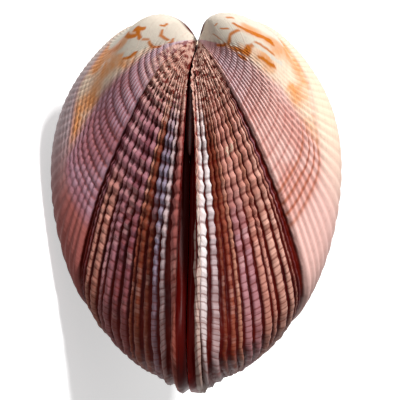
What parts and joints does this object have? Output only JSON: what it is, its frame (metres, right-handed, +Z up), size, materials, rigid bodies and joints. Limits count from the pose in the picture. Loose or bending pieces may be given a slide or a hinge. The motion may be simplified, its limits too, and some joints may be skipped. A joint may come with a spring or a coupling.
{
  "type": "venus clam shell",
  "caption": "Closed heart-shaped bivalve shell with smooth rounded beaks, beaded radiating ribs and a dark sunken hinge groove, lying on one valve.",
  "frame": {"origin": "bottom centre of the bounding box, on the surface the shell lies on", "axes": "+Z up through the right valve, the left valve underneath; beaks towards -X, hind tip towards +X, hinge groove side towards -Y, lower edge towards +Y"},
  "size_m": [0.0376, 0.045, 0.0302],
  "materials": {
    "left_shell": "satin",
    "right_shell": "satin",
    "ligament": "satin"
  },
  "bodies": {
    "root": {"left_valve": "left_shell", "right_valve": "right_shell", "ligament": "ligament"}
  },
  "joints": []
}
